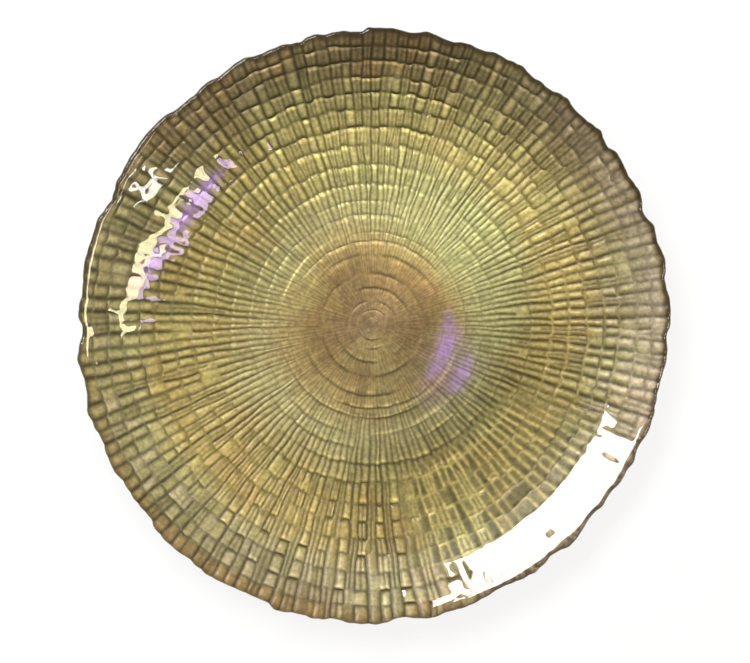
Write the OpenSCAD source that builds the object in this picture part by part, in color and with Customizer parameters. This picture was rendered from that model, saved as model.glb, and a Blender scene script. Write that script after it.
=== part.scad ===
// Pressed-glass charger plate with a hand-cut wavy edge and an iridescent lustre on its back.
// The origin is on the plate's axis, at the plane that the foot ring rests on.

/* [Plate] */
// Diameter over the middle of the edge's waves
plate_d = 330; // [290:1:360]
// Diameter of the flat well
well_d = 204; // [170:1:230]
// Rise of the lip above the floor of the well
rim_rise = 20.5; // [12:0.5:30]
// Thickness of the glass in the well
well_t = 4.5; // [3.5:0.1:7]
// Thickness of the glass at the edge
edge_t = 3.6; // [2.8:0.1:6]
// Furthest that a wave of the edge stands out from the mean
edge_wave = 2.5; // [0.5:0.1:4]
// Width of the lip, in from the middle of the edge's waves, where the rim grows flatter
lip_w = 3.6; // [2:0.2:7]

/* [Foot ring] */
// Distance of the foot ring's middle in from the edge of the flat well
foot_inset = 11; // [8:0.5:30]
// Width of the foot ring at its root
foot_w = 4.4; // [4:0.2:10]
// Drop of the foot ring below the well
foot_h = 1.2; // [0.8:0.1:1.8]

/* [Pressed pattern] */
// Height of the step at each ring
ring_step = 0.3; // [0.1:0.05:0.35]
// Number of radial grooves round the plate
rib_count = 144; // [60:2:150]
// Width of each radial groove
rib_w = 1.1; // [0.7:0.1:1.4]
// Depth of each radial groove
rib_depth = 0.5; // [0.4:0.05:0.8]
// Diameter of the middle that holds rings alone
eye_d = 84; // [76:1:100]

/* [Lustre] */
// Thickness drawn for the lustre film
coat_t = 0.2; // [0.15:0.05:0.3]
// Bare glass left between the lustre and the plate's edge
coat_edge_gap = 0.4; // [0.2:0.1:2]

/* [Hidden] */

// How far a cutting solid runs past what it cuts
overrun = 1;
// Sides of a round shape, and steps round the wavy edge
round_sides = 180;
edge_steps = 240;

plate_r = plate_d / 2;
well_r = well_d / 2;
eye_r = eye_d / 2;
rim_w = plate_r - well_r;
foot_r = well_r - foot_inset;
well_z = foot_h + well_t;
// Height and width of the slope on both sides of the foot ring, as a share of its drop
foot_chamfer_share = 0.9;
foot_chamfer = foot_chamfer_share * foot_h;

// Radius past every wave, where the turned profile ends before the edge is cut
blank_r = plate_r + edge_wave + overrun;

// Rings in the middle, as shares of its radius
eye_ring_shares = [0.105, 0.2, 0.32, 0.5, 0.69, 0.95];
// Rings on the rim, as shares of the rim's width, and the rise that the rim has reached at each
rim_ring_shares = [0, 0.16, 0.32, 0.46, 0.6, 0.75, 0.88];
rim_rise_shares = [0, 0.05, 0.15, 0.26, 0.42, 0.655, 0.875];
// Slope of the lip, as a share of the rim's mean slope
lip_slope_share = 0.75;

eye_rings = [for (share = eye_ring_shares) share * eye_r];
rim_rings = [for (share = rim_ring_shares) well_r + share * rim_w];
rim_heights = [for (share = rim_rise_shares) well_z + share * rim_rise];

// The rim goes on to the lip at the slope between its last two rings
last = len(rim_rings) - 1;
outer_slope = (rim_heights[last] - rim_heights[last - 1]) / (rim_rings[last] - rim_rings[last - 1]);
lip_r = plate_r - lip_w;
lip_z = rim_heights[last] + outer_slope * (lip_r - rim_rings[last]);
lip_slope = lip_slope_share * rim_rise / rim_w;

// Height of the upper face, and thickness below it, at each radius where they change
top_line = concat(
    [[0, well_z]],
    [for (i = [0 : last]) [rim_rings[i], rim_heights[i]]],
    [[lip_r, lip_z], [blank_r, lip_z + lip_slope * (blank_r - lip_r)]]
);
wall_line = [[0, well_t], [well_r, well_t], [plate_r, edge_t], [blank_r, edge_t]];

// Bearing in degrees of each crest and hollow of the edge, and its height as a share of edge_wave
edge_wave_shares = [
    [0, 0.4], [3, 0.65], [9, -0.05], [13, 0.9], [16, 0.15], [19, 0.45], [23, -0.6], [27, 0.6],
    [30, 0], [35, 0.55], [38, -0.3], [41, 0.6], [44, 0], [47, -0.15], [50, 0.45], [54, -0.3],
    [57, -0.2], [61, 0.55], [64, 0.35], [66, 0.6], [69, 0], [72, 0.25], [75, -0.3], [80, 0.55],
    [83, -0.1], [87, 0.5], [91, 0.5], [93, -0.3], [98, 0.2], [100, -0.1], [102, 0.3], [105, -0.6],
    [109, -0.1], [113, -0.25], [117, 0.4], [122, -0.45], [125, -0.1], [128, -0.65], [132, -0.5],
    [136, 0.4], [140, 0.55], [145, 0.2], [150, -0.2], [154, -1], [159, 0.1], [162, 0], [167, 0.15],
    [173, -0.5], [177, 0], [180, -1], [186, 0.35], [190, -0.35], [193, -0.3], [196, 0.6],
    [199, 0.1], [202, -0.4], [208, 0.3], [211, -0.35], [217, -0.25], [220, -0.5], [222, 0.45],
    [228, 0.6], [231, 0.2], [236, 0.6], [244, 0], [248, 0.05], [251, 1], [255, 0.3], [258, 0.6],
    [262, 0], [265, 0.6], [271, 0.55], [275, -0.45], [281, 0.65], [285, 0.05], [287, 0.3],
    [296, -0.65], [299, -0.35], [303, 0], [308, -0.8], [312, 0.2], [319, -1], [322, -0.6],
    [324, -0.95], [328, -0.3], [330, -0.45], [332, -0.15], [335, -0.6], [339, 0.1], [347, -0.55],
    [355, 0.15], [358, -0.35], [360, 0.4]
];

// Waves round the plate in which the ribs stray from even spacing: how many there are,
// their height as a share of the spacing, and their phase in degrees
rib_strays = [[1, 1.5, 135], [2, 0.8, 53], [31, 0.05, 0], [47, 0.04, 0]];

function top_z(r) = lookup(r, top_line);
function under_z(r) = top_z(r) - lookup(r, wall_line);

// Rise of the edge's wave at a bearing, eased between the crests and hollows on both sides
function wave_at(bearing) =
    let (
        before = max([for (k = [0 : len(edge_wave_shares) - 2]) if (edge_wave_shares[k][0] <= bearing) k]),
        from = edge_wave_shares[before],
        to = edge_wave_shares[before + 1],
        part = (bearing - from[0]) / (to[0] - from[0])
    )
    edge_wave * (from[1] + (to[1] - from[1]) * (1 - cos(180 * part)) / 2);

function total(list, i = 0) = i < len(list) ? list[i] + total(list, i + 1) : 0;
function rib_stray(turn) = total([for (wave = rib_strays) wave[1] * sin(wave[0] * turn + wave[2])]);
function rib_bearing(i) = 360 / rib_count * (i + rib_stray(360 * i / rib_count));

// Upper face from the middle out: each band between two rings falls by the step, then the ring rises by it
top_points = concat(
    [[0, well_z - ring_step]],
    [for (r = eye_rings) each [[r, well_z - ring_step], [r, well_z]]],
    [[well_r, well_z]],
    [for (r = rim_rings) if (r > well_r) each [[r, top_z(r) - ring_step], [r, top_z(r)]]],
    [[lip_r, lip_z], [blank_r, top_z(blank_r)]]
);

// Lower face from the middle out, moved up by a lift
function under_points(lift) = [for (point = top_line) [point[0], under_z(point[0]) + lift]];

// Upper face along a rib from the eye out to the blank's end, moved up by a lift
function rib_line(lift) = concat(
    [[eye_r, well_z + lift]],
    [for (point = top_line) if (point[0] > eye_r) [point[0], point[1] + lift]]
);

function reversed(list) = [for (i = [len(list) - 1 : -1 : 0]) list[i]];

module edge_prism(inset) {
    translate([0, 0, -overrun])
        linear_extrude(well_z + rim_rise + 2 * overrun)
            polygon([for (i = [0 : edge_steps - 1])
                let (bearing = 360 * i / edge_steps)
                (plate_r - inset + wave_at(bearing)) * [cos(bearing), sin(bearing)]
            ]);
}

// The radial grooves that cross every ring outside the middle
module rib_cutters() {
    for (i = [0 : rib_count - 1])
        rotate([0, 0, rib_bearing(i)])
            rotate([90, 0, 0])
                linear_extrude(rib_w, center = true)
                    polygon(concat(rib_line(-rib_depth), reversed(rib_line(overrun))));
}

// The foot ring, grown sideways, from the resting plane up to a root
module foot_ring(grow, root_z) {
    half_w = foot_w / 2 + grow;
    rotate_extrude($fn = round_sides)
        translate([foot_r, 0])
            polygon([
                [-half_w, root_z],
                [-half_w, foot_chamfer],
                [foot_chamfer - half_w, 0],
                [half_w - foot_chamfer, 0],
                [half_w, foot_chamfer],
                [half_w, root_z]
            ]);
}

module glass_body() {
    color("#b5a468")
        union() {
            difference() {
                intersection() {
                    rotate_extrude($fn = round_sides)
                        polygon(concat(top_points, reversed(under_points(0))));
                    edge_prism(0);
                }
                rib_cutters();
            }
            foot_ring(0, foot_h + well_t / 2);
        }
}

// The film lies on the whole lower face but the flat that the foot ring rests on
module lustre_coat() {
    color("#8f7f3c")
        difference() {
            union() {
                intersection() {
                    rotate_extrude($fn = round_sides)
                        polygon(concat(under_points(-coat_t), reversed(under_points(0))));
                    edge_prism(coat_edge_gap);
                }
                foot_ring(coat_t, foot_h);
            }
            foot_ring(0, foot_h + well_t / 2);
        }
}

glass_body();
lustre_coat();
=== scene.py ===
"""Dresses the pressed-glass charger plate: its clear glass, and the iridescent gold lustre on its back.

Sizes are in millimetres until a mesh is placed. The plate's profile, rings, ribs and wavy edge follow the
same named sizes as the solids that they replace. A strip is the glass between two radial grooves, and a band
lies between two rings. Strip numbers carry the share of the way across the strip as their fraction.
"""

import logging
import math
from dataclasses import dataclass, field
from enum import Enum

import bpy
import numpy as np
from mathutils import Matrix


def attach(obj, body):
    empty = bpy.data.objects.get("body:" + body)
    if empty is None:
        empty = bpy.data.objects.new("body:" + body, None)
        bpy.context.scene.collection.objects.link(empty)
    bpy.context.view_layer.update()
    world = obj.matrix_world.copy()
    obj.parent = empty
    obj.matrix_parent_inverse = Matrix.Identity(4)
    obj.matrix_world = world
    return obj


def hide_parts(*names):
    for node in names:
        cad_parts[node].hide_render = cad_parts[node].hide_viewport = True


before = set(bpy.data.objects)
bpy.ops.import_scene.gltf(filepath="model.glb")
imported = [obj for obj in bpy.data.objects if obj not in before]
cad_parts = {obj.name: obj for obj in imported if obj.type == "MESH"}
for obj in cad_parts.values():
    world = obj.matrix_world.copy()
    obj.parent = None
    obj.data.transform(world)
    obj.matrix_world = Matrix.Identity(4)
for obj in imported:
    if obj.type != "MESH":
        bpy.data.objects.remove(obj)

LOG = logging.getLogger("charger_plate")
MM = 0.001
PHOTO_WIDTH_PX = 750
PHOTO_HEIGHT_PX = 663

# One number, or one for each place
Amount = float | np.ndarray


def linear(hex_colour: str) -> tuple[float, float, float, float]:
    """Turns an sRGB hex colour to a linear one.

    Args:
        hex_colour: a hash and six hex digits.

    Returns:
        Red, green and blue, linear, and an alpha of 1.
    """
    shares = [int(hex_colour[i : i + 2], 16) / 255 for i in (1, 3, 5)]
    red, green, blue = (c / 12.92 if c <= 0.04045 else ((c + 0.055) / 1.055) ** 2.4 for c in shares)
    return red, green, blue, 1.0


def smooth_step(value: Amount, low: Amount, high: Amount) -> Amount:
    """Eases from 0 where the value is low to 1 where it is high."""
    share = np.clip((value - low) / (high - low), 0, 1)
    return share * share * (3 - 2 * share)


def toward(bearing: np.ndarray, middle_deg: float, power: float) -> np.ndarray:
    """Gives 1 at a middle bearing, falling to 0 at a right angle to it, the faster the higher the power."""
    return np.clip(np.cos(bearing - math.radians(middle_deg)), 0, 1) ** power


def degrees_off(bearing: np.ndarray, middle_deg: float) -> np.ndarray:
    """Gives how many degrees bearings, given in radians, lie from a middle one."""
    return np.mod(np.degrees(bearing) - middle_deg + 180, 360) - 180


def polar_points(radius: Amount, bearing: Amount, height: Amount) -> np.ndarray:
    """Turns polar places and heights to points."""
    return np.stack([radius * np.cos(bearing), radius * np.sin(bearing), height], axis=-1)


def world_direction(polar_deg: float, bearing_deg: float) -> np.ndarray:
    """Gives a unit vector that leans from straight up towards a bearing."""
    polar = math.radians(polar_deg)
    return polar_points(math.sin(polar), math.radians(bearing_deg), math.cos(polar))


def strip_parts(strip: np.ndarray) -> tuple[np.ndarray, np.ndarray]:
    """Splits strip numbers into the strip and the share of the way across it."""
    whole = np.floor(strip).astype(int)
    return whole, strip - whole


@dataclass(frozen=True)
class Patch:
    """A part of the plate, strongest at one bearing and between two radii."""

    middle_deg: float
    # How narrow it is round the plate
    power: float
    # Radii where it begins, is full, starts to fade and ends
    begins: float
    full: float
    fades: float
    ends: float

    def share(self, radius: Amount, bearing: np.ndarray) -> np.ndarray:
        """Gives how strong the patch is, from 0 to 1, at distances from the axis and bearings in radians."""
        reach = smooth_step(radius, self.begins, self.full) * (1 - smooth_step(radius, self.fades, self.ends))
        return toward(bearing, self.middle_deg, self.power) * reach


# Patches, each with its strength
Patches = tuple[tuple[float, Patch], ...]


@dataclass(frozen=True)
class PlateForm:
    """The plate's profile and outline, in millimetres, as its solids have them."""

    plate_r: float = 165.0
    well_r: float = 102.0
    eye_r: float = 42.0
    rim_rise: float = 20.5
    well_t: float = 4.5
    edge_t: float = 3.6
    edge_wave: float = 2.5
    foot_inset: float = 11.0
    foot_w: float = 4.4
    foot_h: float = 1.2
    foot_chamfer_share: float = 0.9
    # Width of the slope between the foot ring's side and the lower face
    foot_root_w: float = 0.3
    lip_slope_share: float = 0.75
    lip_w: float = 3.6
    rib_count: int = 144
    # How the ribs stray from even spacing: waves round the plate, height as a share of the spacing, phase
    rib_strays: tuple[tuple[int, float, float], ...] = (
        (1, 1.5, 135.0),
        (2, 0.8, 53.0),
        (31, 0.05, 0.0),
        (47, 0.04, 0.0),
    )
    eye_ring_shares: tuple[float, ...] = (0.105, 0.2, 0.32, 0.5, 0.69, 0.95)
    well_ring_shares: tuple[float, ...] = (0.466, 0.515, 0.61, 0.686, 0.78, 0.885)
    rim_ring_shares: tuple[float, ...] = (0, 0.16, 0.32, 0.46, 0.6, 0.75, 0.88)
    rim_rise_shares: tuple[float, ...] = (0, 0.05, 0.15, 0.26, 0.42, 0.655, 0.875)
    # Bearing in degrees of each crest and hollow of the edge, and its height as a share of edge_wave
    edge_wave_shares: tuple[tuple[float, float], ...] = (
        (0, 0.4), (3, 0.65), (9, -0.05), (13, 0.9), (16, 0.15), (19, 0.45), (23, -0.6), (27, 0.6),
        (30, 0), (35, 0.55), (38, -0.3), (41, 0.6), (44, 0), (47, -0.15), (50, 0.45), (54, -0.3),
        (57, -0.2), (61, 0.55), (64, 0.35), (66, 0.6), (69, 0), (72, 0.25), (75, -0.3), (80, 0.55),
        (83, -0.1), (87, 0.5), (91, 0.5), (93, -0.3), (98, 0.2), (100, -0.1), (102, 0.3), (105, -0.6),
        (109, -0.1), (113, -0.25), (117, 0.4), (122, -0.45), (125, -0.1), (128, -0.65), (132, -0.5),
        (136, 0.4), (140, 0.55), (145, 0.2), (150, -0.2), (154, -1), (159, 0.1), (162, 0), (167, 0.15),
        (173, -0.5), (177, 0), (180, -1), (186, 0.35), (190, -0.35), (193, -0.3), (196, 0.6),
        (199, 0.1), (202, -0.4), (208, 0.3), (211, -0.35), (217, -0.25), (220, -0.5), (222, 0.45),
        (228, 0.6), (231, 0.2), (236, 0.6), (244, 0), (248, 0.05), (251, 1), (255, 0.3), (258, 0.6),
        (262, 0), (265, 0.6), (271, 0.55), (275, -0.45), (281, 0.65), (285, 0.05), (287, 0.3),
        (296, -0.65), (299, -0.35), (303, 0), (308, -0.8), (312, 0.2), (319, -1), (322, -0.6),
        (324, -0.95), (328, -0.3), (330, -0.45), (332, -0.15), (335, -0.6), (339, 0.1), (347, -0.55),
        (355, 0.15), (358, -0.35), (360, 0.4),
    )
    # Radial distance over which the profile's corners are rounded, and the samples that it is rounded from
    blend_mm: float = 1.6
    blend_samples: int = 9

    @property
    def rim_w(self) -> float:
        """Width of the rim from the well to the mean edge."""
        return self.plate_r - self.well_r

    @property
    def foot_r(self) -> float:
        """Radius of the foot ring's middle."""
        return self.well_r - self.foot_inset

    @property
    def foot_chamfer(self) -> float:
        """Height and width of the slope on both sides of the foot ring."""
        return self.foot_chamfer_share * self.foot_h

    @property
    def well_z(self) -> float:
        """Height of the floor of the well."""
        return self.foot_h + self.well_t

    def ring_radii(self) -> np.ndarray:
        """Gives the rings' radii.

        Returns:
            The radius of each pressed ring, from the innermost to the outermost.
        """
        eye = np.multiply(self.eye_ring_shares, self.eye_r)
        well = np.multiply(self.well_ring_shares, self.well_r)
        rim = self.well_r + np.multiply(self.rim_ring_shares, self.rim_w)
        return np.concatenate([eye, well, rim])

    def _profile(self) -> tuple[list[float], list[float]]:
        """Gives the upper face's corners.

        Returns:
            The radii at which its slope changes, and its height there.
        """
        radii = [self.well_r + share * self.rim_w for share in self.rim_ring_shares]
        heights = [self.well_z + share * self.rim_rise for share in self.rim_rise_shares]
        last_slope = (heights[-1] - heights[-2]) / (radii[-1] - radii[-2])
        lip_r = self.plate_r - self.lip_w
        lip_z = heights[-1] + last_slope * (lip_r - radii[-1])
        # The lip runs on past every wave of the edge
        lip_run = self.lip_w + 4 * self.edge_wave
        lip_rise = self.lip_slope_share * self.rim_rise / self.rim_w * lip_run
        return [0, *radii, lip_r, lip_r + lip_run], [self.well_z, *heights, lip_z, lip_z + lip_rise]

    def top_z(self, radius: Amount) -> Amount:
        """Gives the height of the upper face, with the profile's corners rounded.

        Args:
            radius: distances from the axis.

        Returns:
            The height at each distance.
        """
        radii, heights = self._profile()
        steps = np.linspace(-1, 1, self.blend_samples) * self.blend_mm
        return np.mean([np.interp(np.abs(radius + step), radii, heights) for step in steps], axis=0)

    def under_z(self, radius: Amount) -> Amount:
        """Gives the height of the lower face at distances from the axis."""
        wall = np.interp(radius, [0, self.well_r, self.plate_r], [self.well_t, self.well_t, self.edge_t])
        return self.top_z(radius) - wall

    def foot_drop(self, radius: Amount, grow: float) -> Amount:
        """Gives how far the foot ring reaches below the lower face.

        Args:
            radius: distances from the axis.
            grow: how much wider than the ring the shape is on each side.

        Returns:
            The drop at each distance, 0 beside the ring.
        """
        inward = self.foot_w / 2 + grow - np.abs(radius - self.foot_r)
        side_h = self.foot_h - self.foot_chamfer
        return np.interp(inward, [-self.foot_root_w, 0, self.foot_chamfer], [0, side_h, self.foot_h])

    def edge_r(self, bearing_deg: np.ndarray) -> np.ndarray:
        """Gives the radius of the wavy edge, eased between its crests and hollows.

        Args:
            bearing_deg: bearings in degrees.

        Returns:
            The edge's radius at each bearing.
        """
        table = np.array(self.edge_wave_shares)
        bearing = np.mod(bearing_deg, 360)
        before = np.clip(np.searchsorted(table[:, 0], bearing, side="right") - 1, 0, len(table) - 2)
        share = (bearing - table[before, 0]) / (table[before + 1, 0] - table[before, 0])
        ease = (1 - np.cos(np.pi * share)) / 2
        wave = table[before, 1] + (table[before + 1, 1] - table[before, 1]) * ease
        return self.plate_r + self.edge_wave * wave

    def rib_bearing(self, rib: np.ndarray) -> np.ndarray:
        """Gives the bearing of each radial groove.

        Args:
            rib: numbers of the grooves, counted anticlockwise.

        Returns:
            The bearing of each, in degrees.
        """
        turn = 2 * np.pi * rib / self.rib_count
        stray = sum(share * np.sin(n * turn + math.radians(phase)) for n, share, phase in self.rib_strays)
        return 360 / self.rib_count * (rib + stray)


@dataclass(frozen=True)
class Relief:
    """The weave along one row: how high it stands, and how deep the row lies in each kind of line."""

    # 0 in a groove and up to 1 on a cell
    height: np.ndarray
    # 1 in a radial groove, in a ring's groove, on a ring's ridge and in a cell's middle, and 0 away from it
    rib: np.ndarray
    ring: np.ndarray
    ridge: np.ndarray
    centre: np.ndarray


@dataclass
class Weave:
    """The pressed basket weave: where its grooves run, and how its cells swell between them."""

    form: PlateForm
    seed: int = 7
    # How far a ring strays, in which waves (height as a share, number), the share of it near the axis, and
    # the radii between which it grows to all of it
    ring_wander_mm: float = 0.8
    ring_waves: tuple[tuple[float, int], ...] = ((0.45, 3), (0.3, 8), (0.25, 19), (0.2, 31))
    ring_calm_share: float = 0.4
    ring_reach: tuple[float, float] = (5.0, 110.0)
    # How far a ring jumps from strip to strip
    ring_step_mm: float = 0.7
    # How far a cell's inner end bulges towards the middle, and the share of it that is not left to chance
    ring_bulge_mm: float = 0.7
    bulge_middle: float = 0.4
    # How far a rib strays, in which waves (height as a share, millimetres per radian), and between which
    # radii it grows to that
    rib_wander_mm: float = 0.9
    rib_waves: tuple[tuple[float, float], ...] = ((0.5, 14.0), (0.3, 6.0), (0.2, 3.1))
    rib_wander_reach: tuple[float, float] = (10.0, 40.0)
    # Radius from which each rib of four in turn is cut
    rib_starts: np.ndarray = field(default_factory=lambda: np.array([9.0, 26.0, 16.0, 26.0]))
    # Depth of a rib in the middle as a share of its depth further out, the radii between which it grows, and
    # what a skipped rib lacks
    rib_start_depth: float = 0.4
    rib_depth_reach: tuple[float, float] = (28.0, 95.0)
    skip_depth: float = 0.7
    # How narrow a rib's groove is, in the well and on the rim: 1 for a plain wave, and more for less width
    groove_powers: tuple[float, float] = (1.25, 3.0)
    # How much wider the rim's ribs are to the left and right, on the upper right, and in the dashed patch
    side_widening: float = 0.65
    right_widening: float = 0.4
    dash_widening: float = 0.3
    # Radii between which the plain ribs of the well turn to weave
    woven_reach: tuple[float, float] = (75.0, 112.0)
    # Width of a ring's groove outside its line, as a share of the band, and of its groove inside the line
    groove_outside: float = 0.2
    groove_inside: float = 0.09
    # Height of the ridge just inside a ring, how far inside it lies and how wide it is, as shares of the band
    ridge_share: float = 0.25
    ridge_off: float = 0.16
    ridge_half: float = 0.1
    # How far the rings' grooves fill the ribs where they cross
    bridge_share: float = 0.35
    dash_bridge_share: float = 0.6
    # Depth of a ring where a strip dips under it, where it passes over, and what passing over leaves out
    # along the bottom, where every second strip does
    dip_share: float = 1.0
    pass_share: float = 0.42
    over_share: float = 0.85
    # How often over and under change places, and how often a rib is skipped
    odd_share: float = 0.3
    skip_share: float = 0.08
    # Most that a ring of the well shows, in the places where it fades in
    faint_share: float = 0.75
    # How often a strip is split in two, how deep, and through how many bands
    split_share: float = 0.5
    split_depth: float = 0.6
    split_bands: int = 3
    # How the splits gather: their share at the sides, what the net takes, what the top and the ribs add
    side_split_share: float = 0.45
    net_split_loss: float = 0.9
    top_split_gain: float = 0.6
    ribbed_split_gain: float = 0.9
    edge_bulge_mm: float = 0.7
    edge_bulge_middle: float = 0.35
    # Height of the plain middle, where no groove is pressed, and the radii between which the pressing begins
    plain_height: float = 0.85
    pressed_reach: tuple[float, float] = (1.0, 12.0)
    # Where the rings cross the ribs as dashes, and where cells are whole and lie like a net
    dashed: Patch = Patch(-16, 10, 85, 105, 146, 158)
    netted: Patch = Patch(-50, 7, 70, 90, 146, 158)
    # Where the ribs stand out more than the rings: the lower left, and the well's upper right
    ribbed: tuple[Patch, Patch] = (Patch(225, 3, 60, 80, 122, 138), Patch(62, 2, 38, 52, 90, 112))
    _draws: dict[str, np.ndarray] = field(default_factory=dict)

    def __post_init__(self) -> None:
        """Draws every random number that the pattern needs, once."""
        rng = np.random.default_rng(self.seed)
        ribs, bands = self.form.rib_count, len(self.form.ring_radii()) + 1
        self._draws = {
            "ring_phase": rng.uniform(0, 2 * np.pi, (bands + 1, 4)),
            "ring_step": rng.uniform(-1, 1, (bands + 1, ribs)),
            "rib_phase": rng.uniform(0, 2 * np.pi, (ribs, 3)),
            "over": rng.uniform(0, 1, (bands + 1, ribs)),
            "rib_depth": rng.uniform(0.65, 1, ribs),
            "split": rng.uniform(0, 1, (bands, ribs)),
            "bulge": rng.uniform(0, 1, ribs),
            "swell": rng.uniform(0.6, 1, (bands, ribs)),
            "tone": rng.uniform(-1, 1, (bands, ribs)),
            "wobble": rng.uniform(-1, 1, (bands + 1, ribs)),
            "skip": rng.uniform(0, 1, (bands, ribs)),
        }

    def _drawn(self, key: str, whole: np.ndarray, line: int | None = None) -> np.ndarray:
        """Looks up the random numbers of some strips or ribs, in one band or ring where they have those."""
        table = self._draws[key] if line is None else self._draws[key][line]
        return table[whole % self.form.rib_count]

    def _groove_bearing(self, rib: np.ndarray, radius: np.ndarray) -> np.ndarray:
        """Gives the bearing of points in radial grooves.

        Args:
            rib: number of each point's groove.
            radius: each point's distance from the axis.

        Returns:
            The bearings in radians.
        """
        phase = self._drawn("rib_phase", rib)
        waves = enumerate(self.rib_waves)
        wander = sum(size * np.sin(radius / run + phase[..., i]) for i, (size, run) in waves)
        sideways = self.rib_wander_mm * wander * smooth_step(radius, *self.rib_wander_reach)
        return np.radians(self.form.rib_bearing(rib)) + sideways / np.maximum(radius, 5.0)

    def bearings(self, strip: np.ndarray, radius: np.ndarray) -> np.ndarray:
        """Gives the bearing of points between two radial grooves.

        Args:
            strip: strip numbers.
            radius: distances from the axis.

        Returns:
            The bearings in radians.
        """
        whole, across = strip_parts(strip)
        before, after = (self._groove_bearing(rib, radius) for rib in (whole, whole + 1))
        return (1 - across) * before + across * after

    def ring_radius(self, ring: int, strip: np.ndarray, bulge_share: float = 0.0) -> np.ndarray:
        """Gives the radius of one ring groove along the strips that it crosses.

        Args:
            ring: 0 for the axis, then each ring outwards.
            strip: strip numbers.
            bulge_share: how fully the cells' ends bulge.

        Returns:
            The radius at each place.
        """
        if ring == 0:
            return np.zeros_like(strip)
        nominal = self.form.ring_radii()[ring - 1]
        turn = 2 * np.pi * strip / self.form.rib_count
        phase = self._draws["ring_phase"][ring]
        wander = sum(size * np.sin(n * turn + phase[i]) for i, (size, n) in enumerate(self.ring_waves))
        whole, share = strip_parts(strip)
        here = self._drawn("ring_step", whole, ring)
        beside = self._drawn("ring_step", np.where(share < 0.5, whole - 1, whole + 1), ring)
        step = (here + beside) / 2
        step = step + (here - step) * smooth_step(np.minimum(share, 1 - share), 0.0, 0.15)
        bulge = bulge_share * self.ring_bulge_mm * (self.bulge_middle + self._drawn("wobble", whole, ring))
        step = self.ring_step_mm * step - bulge * (1 - (2 * share - 1) ** 2)
        lively = smooth_step(nominal, *self.ring_reach)
        stray = self.ring_calm_share + (1 - self.ring_calm_share) * lively
        return nominal + stray * self.ring_wander_mm * wander + lively**3 * step

    def ribbed_share(self, radius: Amount, bearing: np.ndarray) -> np.ndarray:
        """Gives how far the ribs stand out more than the rings."""
        return np.maximum(*(patch.share(radius, bearing) for patch in self.ribbed))

    def _rib_cut(self, strip: np.ndarray, band: int, radius: float, groove: float) -> np.ndarray:
        """Gives how deep a row lies in the radial grooves, and in the splits between them.

        Args:
            strip: strip numbers.
            band: number of the band.
            radius: the row's mean distance from the axis.
            groove: how deep the row lies in a ring's groove.

        Returns:
            0 on a cell, and up to 1 in a groove.
        """
        whole, across = strip_parts(strip)
        nearer = whole + (across > 0.5)
        off_middle = np.abs(2 * across - 1)
        turn = 2 * np.pi * strip / self.form.rib_count
        woven = smooth_step(radius, *self.woven_reach)
        dashed = self.dashed.share(radius, turn)
        open_share = 1 - (self.bridge_share * woven + self.dash_bridge_share * dashed) * groove
        begins = self.rib_starts[nearer % len(self.rib_starts)]
        cut = self.rib_start_depth + (1 - self.rib_start_depth) * smooth_step(radius, *self.rib_depth_reach)
        cut = cut * self._drawn("rib_depth", nearer) * open_share
        cut = cut * (1 - self.skip_depth * (self._drawn("skip", nearer, band) < self.skip_share * woven))
        cut = cut * smooth_step(radius, begins - 3, begins + 6)
        widened = self.side_widening * np.cos(turn) ** 2 + self.right_widening * toward(turn, 42.0, 3.0)
        narrowed = np.clip(1 - widened - self.dash_widening * dashed, 0, 1)
        wide, narrow = self.groove_powers
        rib = cut * (0.5 - 0.5 * np.cos(np.pi * off_middle)) ** (wide + (narrow - wide) * woven * narrowed)
        often = self.side_split_share + (1 - self.side_split_share) * np.sin(turn) ** 2
        often = self.split_share * woven * often * (1 - self.net_split_loss * self.netted.share(radius, turn))
        gathered = self.ribbed_split_gain * self.ribbed_share(radius, turn)
        often = often * (1 + self.top_split_gain * toward(turn, 90.0, 1.0) + gathered)
        # A split runs on through a few bands
        split = (self._drawn("split", whole, band // self.split_bands) < often) * open_share
        return np.maximum(rib, self.split_depth * split * (1 - smooth_step(off_middle, 0.0, 0.6)))

    def relief(self, strip: np.ndarray, band: int, share: float) -> Relief:
        """Gives the weave along one row.

        Args:
            strip: strip numbers.
            band: number of the band.
            share: share of the way across the band.

        Returns:
            The relief at each place.
        """
        radii = self.form.ring_radii()
        ends = np.concatenate([[0], radii, [self.form.plate_r]])
        radius = ends[band] + share * (ends[band + 1] - ends[band])
        outside = share < 0.5
        ring, from_ring = (band, share) if outside else (band + 1, 1 - share)
        is_ring = 0 < ring <= len(radii)
        width = self.groove_outside if outside else self.groove_inside
        groove = is_ring * (1 - smooth_step(from_ring, 0.0, width))
        ridge = (is_ring and not outside) * math.exp(-(((from_ring - self.ridge_off) / self.ridge_half) ** 2))
        whole, across = strip_parts(strip)
        off_middle = np.abs(2 * across - 1)
        turn = 2 * np.pi * strip / self.form.rib_count
        woven = smooth_step(radius, *self.woven_reach)
        rib = self._rib_cut(strip, band, radius, groove)
        dips = ((whole + ring) % 2 == 0) ^ (self._drawn("over", whole, ring) < self.odd_share)
        phase = self._draws["ring_phase"][ring]
        fading = np.sin(2 * turn + phase[0]) + np.sin(5 * turn + phase[1])
        faint = self.faint_share * smooth_step(fading, -1.8, 0.6)
        over = 1 - self.over_share * toward(turn, 262.0, 4.0) * woven * (whole % 2)
        depth = ((1 - woven) * faint + woven * np.where(dips, self.dip_share, self.pass_share)) * over
        swell = self._drawn("swell", whole, band)
        if share == 0 and band > 0:
            swell = (swell + self._drawn("swell", whole, band - 1)) / 2
        centre = woven * np.sqrt(np.clip(1 - off_middle**2, 0, 1)) * (1 - (2 * share - 1) ** 2) * over
        height = (1 - rib) * (1 - depth * groove) * (swell + (1 - swell) * off_middle**2)
        height = height + self.ridge_share * depth * ridge
        pressed = smooth_step(radius, *self.pressed_reach)
        height = self.plain_height + (height - self.plain_height) * pressed
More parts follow.
